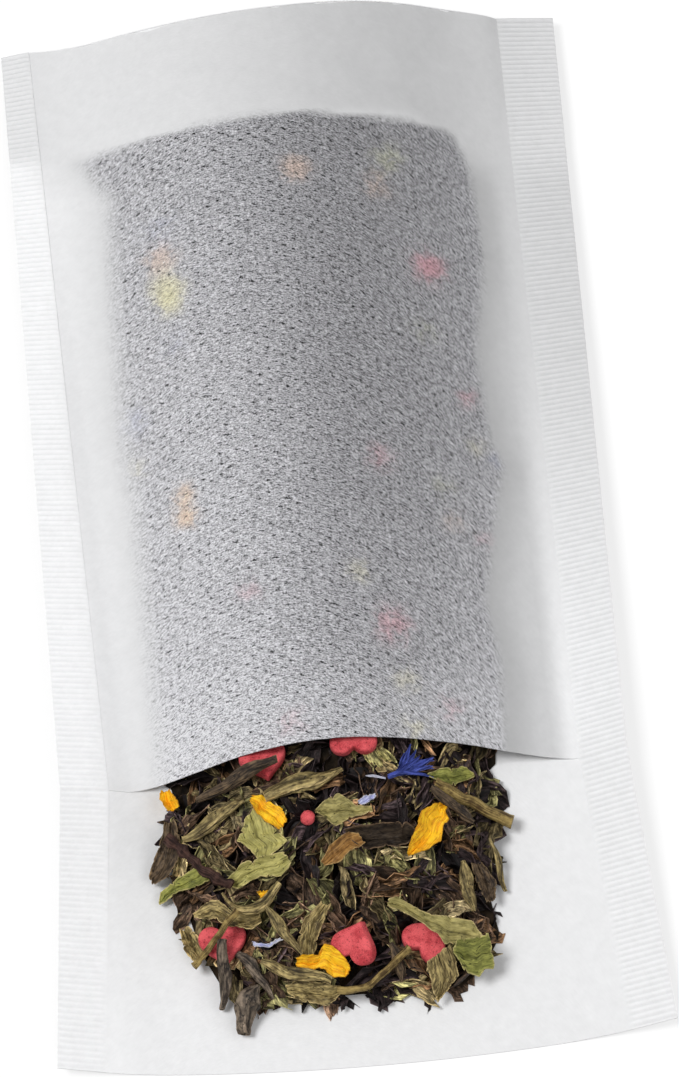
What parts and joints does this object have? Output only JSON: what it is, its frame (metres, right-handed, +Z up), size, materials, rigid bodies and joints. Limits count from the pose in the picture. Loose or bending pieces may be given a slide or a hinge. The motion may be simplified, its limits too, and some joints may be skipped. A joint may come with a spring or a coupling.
{
  "type": "paper tea filter bag",
  "caption": "Open paper tea filter bag with crimped side seams and a gusseted end, filled with a loose tea blend that spills onto its flap.",
  "frame": {"origin": "under the middle of the object's overall box, on the surface that the bag lies on", "axes": "+X across the width, +Y along the bag towards the closed, gusseted end, +Z up through the front sheet"},
  "size_m": [0.0926, 0.1776, 0.0133],
  "materials": {
    "filter_paper": "matt, fibrous white filter paper with crimped seams",
    "tea_bulk": "dark, uneven mass of dried tea leaf",
    "pressed_sugar": "matt pink pressed sugar, finely grained",
    "yellow_petal": "dried yellow petal",
    "tan_petal": "dried tan petal",
    "cornflower": "dried blue petal",
    "lilac_petal": "dried pale lilac petal",
    "green_leaf": "dried green leaf",
    "olive_leaf": "dried olive leaf",
    "brown_leaf": "dried brown leaf",
    "black_leaf": "rolled, twisted black leaf",
    "tan_stalk": "dried leaf stalk"
  },
  "bodies": {
    "root": {"filter_bag": "filter_paper", "tea_blend": "tea_bulk", "sugar_heart_lip_right": "pressed_sugar", "sugar_heart_lip_left": "pressed_sugar", "sugar_heart_left": "pressed_sugar", "sugar_heart_front": "pressed_sugar", "sugar_heart_right": "pressed_sugar", "sugar_bead": "pressed_sugar", "green_leaf_square": "green_leaf", "green_leaf_folded": "green_leaf", "green_leaf_centre": "green_leaf", "green_leaf_mouth": "green_leaf", "green_leaf_front": "green_leaf", "green_leaf_corner": "green_leaf", "green_leaf_left_tip": "green_leaf", "olive_leaf_front": "olive_leaf", "olive_leaf_left": "olive_leaf", "olive_leaf_heart": "olive_leaf", "olive_leaf_base": "olive_leaf", "brown_leaf_left": "brown_leaf", "brown_leaf_cup": "brown_leaf", "brown_leaf_long": "brown_leaf", "brown_leaf_right": "brown_leaf", "yellow_petal_lip": "yellow_petal", "yellow_petal_left": "yellow_petal", "yellow_petal_right": "yellow_petal", "yellow_petal_front": "yellow_petal", "yellow_petal_crumb": "yellow_petal", "cornflower_floret": "cornflower", "lilac_petal_middle": "lilac_petal", "lilac_petal_left": "lilac_petal", "tan_petal": "tan_petal", "rolled_leaf_mouth": "olive_leaf", "rolled_leaf_upper_left": "olive_leaf", "rolled_leaf_ridge": "olive_leaf", "rolled_leaf_arm": "olive_leaf", "rolled_leaf_right_rim": "olive_leaf", "rolled_leaf_right": "olive_leaf", "rolled_leaf_base_left": "olive_leaf", "rolled_leaf_dark_left": "black_leaf", "rolled_leaf_dark_lower": "black_leaf", "rolled_leaf_grey_left": "black_leaf", "rolled_leaf_grey_base": "black_leaf", "rolled_leaf_dark_right": "black_leaf", "rolled_leaf_dark_front": "black_leaf", "stem_right": "tan_stalk", "stem_loop": "tan_stalk", "stem_left": "tan_stalk", "stem_heart": "tan_stalk"}
  },
  "joints": []
}
